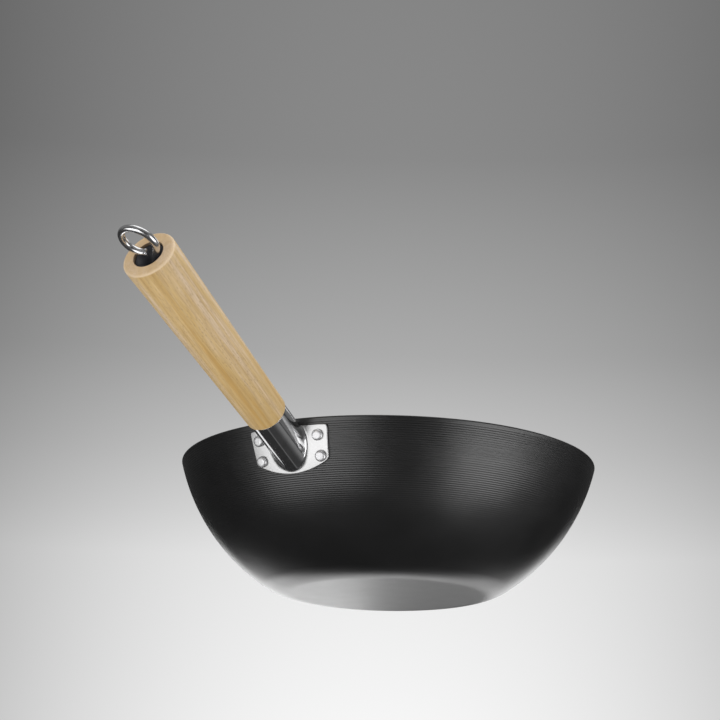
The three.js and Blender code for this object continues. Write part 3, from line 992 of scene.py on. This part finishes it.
def floor():
    """Pale floor that shows only from above, so that a camera below it sees the wok."""
    half = FLOOR_SIZE / 2
    corners = [(-half, -half, 0), (half, -half, 0), (half, half, 0), (-half, half, 0)]
    mesh = bpy.data.meshes.new("floor")
    mesh.from_pydata(corners, [], [(0, 1, 2, 3)])
    made = add_object("floor", mesh)
    made.location.z = -FLOOR_GAP
    nodes = Material("floor")
    nodes.set(Base_Color=(FLOOR_COLOUR, FLOOR_COLOUR, FLOOR_COLOUR, 1), Roughness=FLOOR_ROUGHNESS)
    even = nodes.add("ShaderNodeEmission", {"Color": (FLOOR_TONE, FLOOR_TONE, FLOOR_TONE, 1)})
    distance = nodes.add("ShaderNodeVectorMath", {0: nodes.place()}, operation="LENGTH")
    far = nodes.spread(distance.outputs["Value"], (FLOOR_NEAR, FLOOR_FAR), WHOLE)
    is_seen = nodes.add("ShaderNodeLightPath").outputs["Is Camera Ray"]
    from_below = nodes.add("ShaderNodeNewGeometry").outputs["Backfacing"]
    surface = nodes.choose(nodes.math("MULTIPLY", far, is_seen), nodes.shader, even)
    surface = nodes.choose(from_below, surface, nodes.add("ShaderNodeBsdfTransparent"))
    nodes.fill(nodes.output.inputs["Surface"], surface.outputs[0])
    mesh.materials.append(nodes.material)
    made.visible_glossy = False
    made.visible_shadow = False


def studio_world():
    """Grey studio backdrop for the camera and for reflections, and an even light otherwise."""
    world = bpy.data.worlds.new("studio")
    bpy.context.scene.world = world
    world.use_nodes = True
    nodes = Tree(world.node_tree)
    toward = nodes.add("ShaderNodeTexCoord").outputs["Generated"]
    _, y, z = nodes.axes(toward)
    path = nodes.add("ShaderNodeLightPath").outputs

    def backdrop(part, levels):
        """Light that changes along one axis."""
        stops = [((place + 1) / 2, (level, level, level)) for place, level in levels]
        colour = nodes.ramp(nodes.spread(part, AXIS_SPAN, WHOLE), stops)
        return nodes.add("ShaderNodeBackground", {"Color": colour})

    even = nodes.add("ShaderNodeBackground", {"Color": (EVEN_LEVEL, EVEN_LEVEL, EVEN_LEVEL, 1)})
    seen = backdrop(z, SEEN_LEVELS)
    inputs = {0: toward, 1: direction(CAMERA_AZIMUTH + 90, 0)}
    sideways = nodes.add("ShaderNodeVectorMath", inputs, operation="DOT_PRODUCT").outputs["Value"]
    squared = nodes.math("MULTIPLY", sideways, sideways)
    strength = nodes.spread(squared, (0, SEEN_SIDE_SQUARE), (1, SEEN_SIDE_SHARE))
    nodes.fill(seen.inputs["Strength"], strength)
    is_below = nodes.spread(z, BELOW_BORDER, WHOLE)
    mirrored = nodes.choose(is_below, backdrop(z, AROUND_LEVELS), backdrop(y, BELOW_LEVELS))
    unseen = nodes.choose(path["Is Glossy Ray"], even, mirrored)
    surface = nodes.choose(path["Is Camera Ray"], unseen, seen)
    nodes.add("ShaderNodeOutputWorld", {"Surface": surface.outputs[0]})


def softbox(name, azimuth, elevation, width, height, level):
    """Rectangular lamp that faces the wok."""
    lamp = bpy.data.lights.new(name, "AREA")
    lamp.shape = "RECTANGLE"
    lamp.size, lamp.size_y = width, height
    lamp.energy = level * math.pi * width * height
    made = add_object(name, lamp)
    away = direction(azimuth, elevation)
    made.location = Vector((LAMP_TARGET_X, 0, rim_height)) + away * LAMP_DISTANCE
    made.rotation_mode = "QUATERNION"
    made.rotation_quaternion = away.to_track_quat("Z", "Y")
    made.visible_camera = False


def camera():
    """The photograph's camera."""
    data = bpy.data.cameras.new("camera")
    data.lens = CAMERA_LENS
    data.sensor_width = SENSOR_WIDTH
    made = add_object("camera", data)
    back = direction(CAMERA_AZIMUTH, CAMERA_ELEVATION)
    look = (-back).to_track_quat("-Z", "Y")
    turns = (((0, 1, 0), CAMERA_YAW), ((1, 0, 0), CAMERA_PITCH), ((0, 0, 1), CAMERA_ROLL))
    for pivot, angle in turns:
        look = look @ Quaternion(pivot, math.radians(angle))
    made.location = Vector((0, 0, RIM_PLANE)) + back * CAMERA_DISTANCE
    made.rotation_mode = "QUATERNION"
    made.rotation_quaternion = look
    bpy.context.scene.camera = made


camera()
wok_bowl()
socket_bracket()
rivets()
wooden_grip()
end_bush()
hanging_eye()
hidden_steel()
floor()
studio_world()
for lamp_name, lamp_values in LAMPS.items():
    softbox(lamp_name, *lamp_values)
bpy.context.scene.view_settings.view_transform = "Standard"
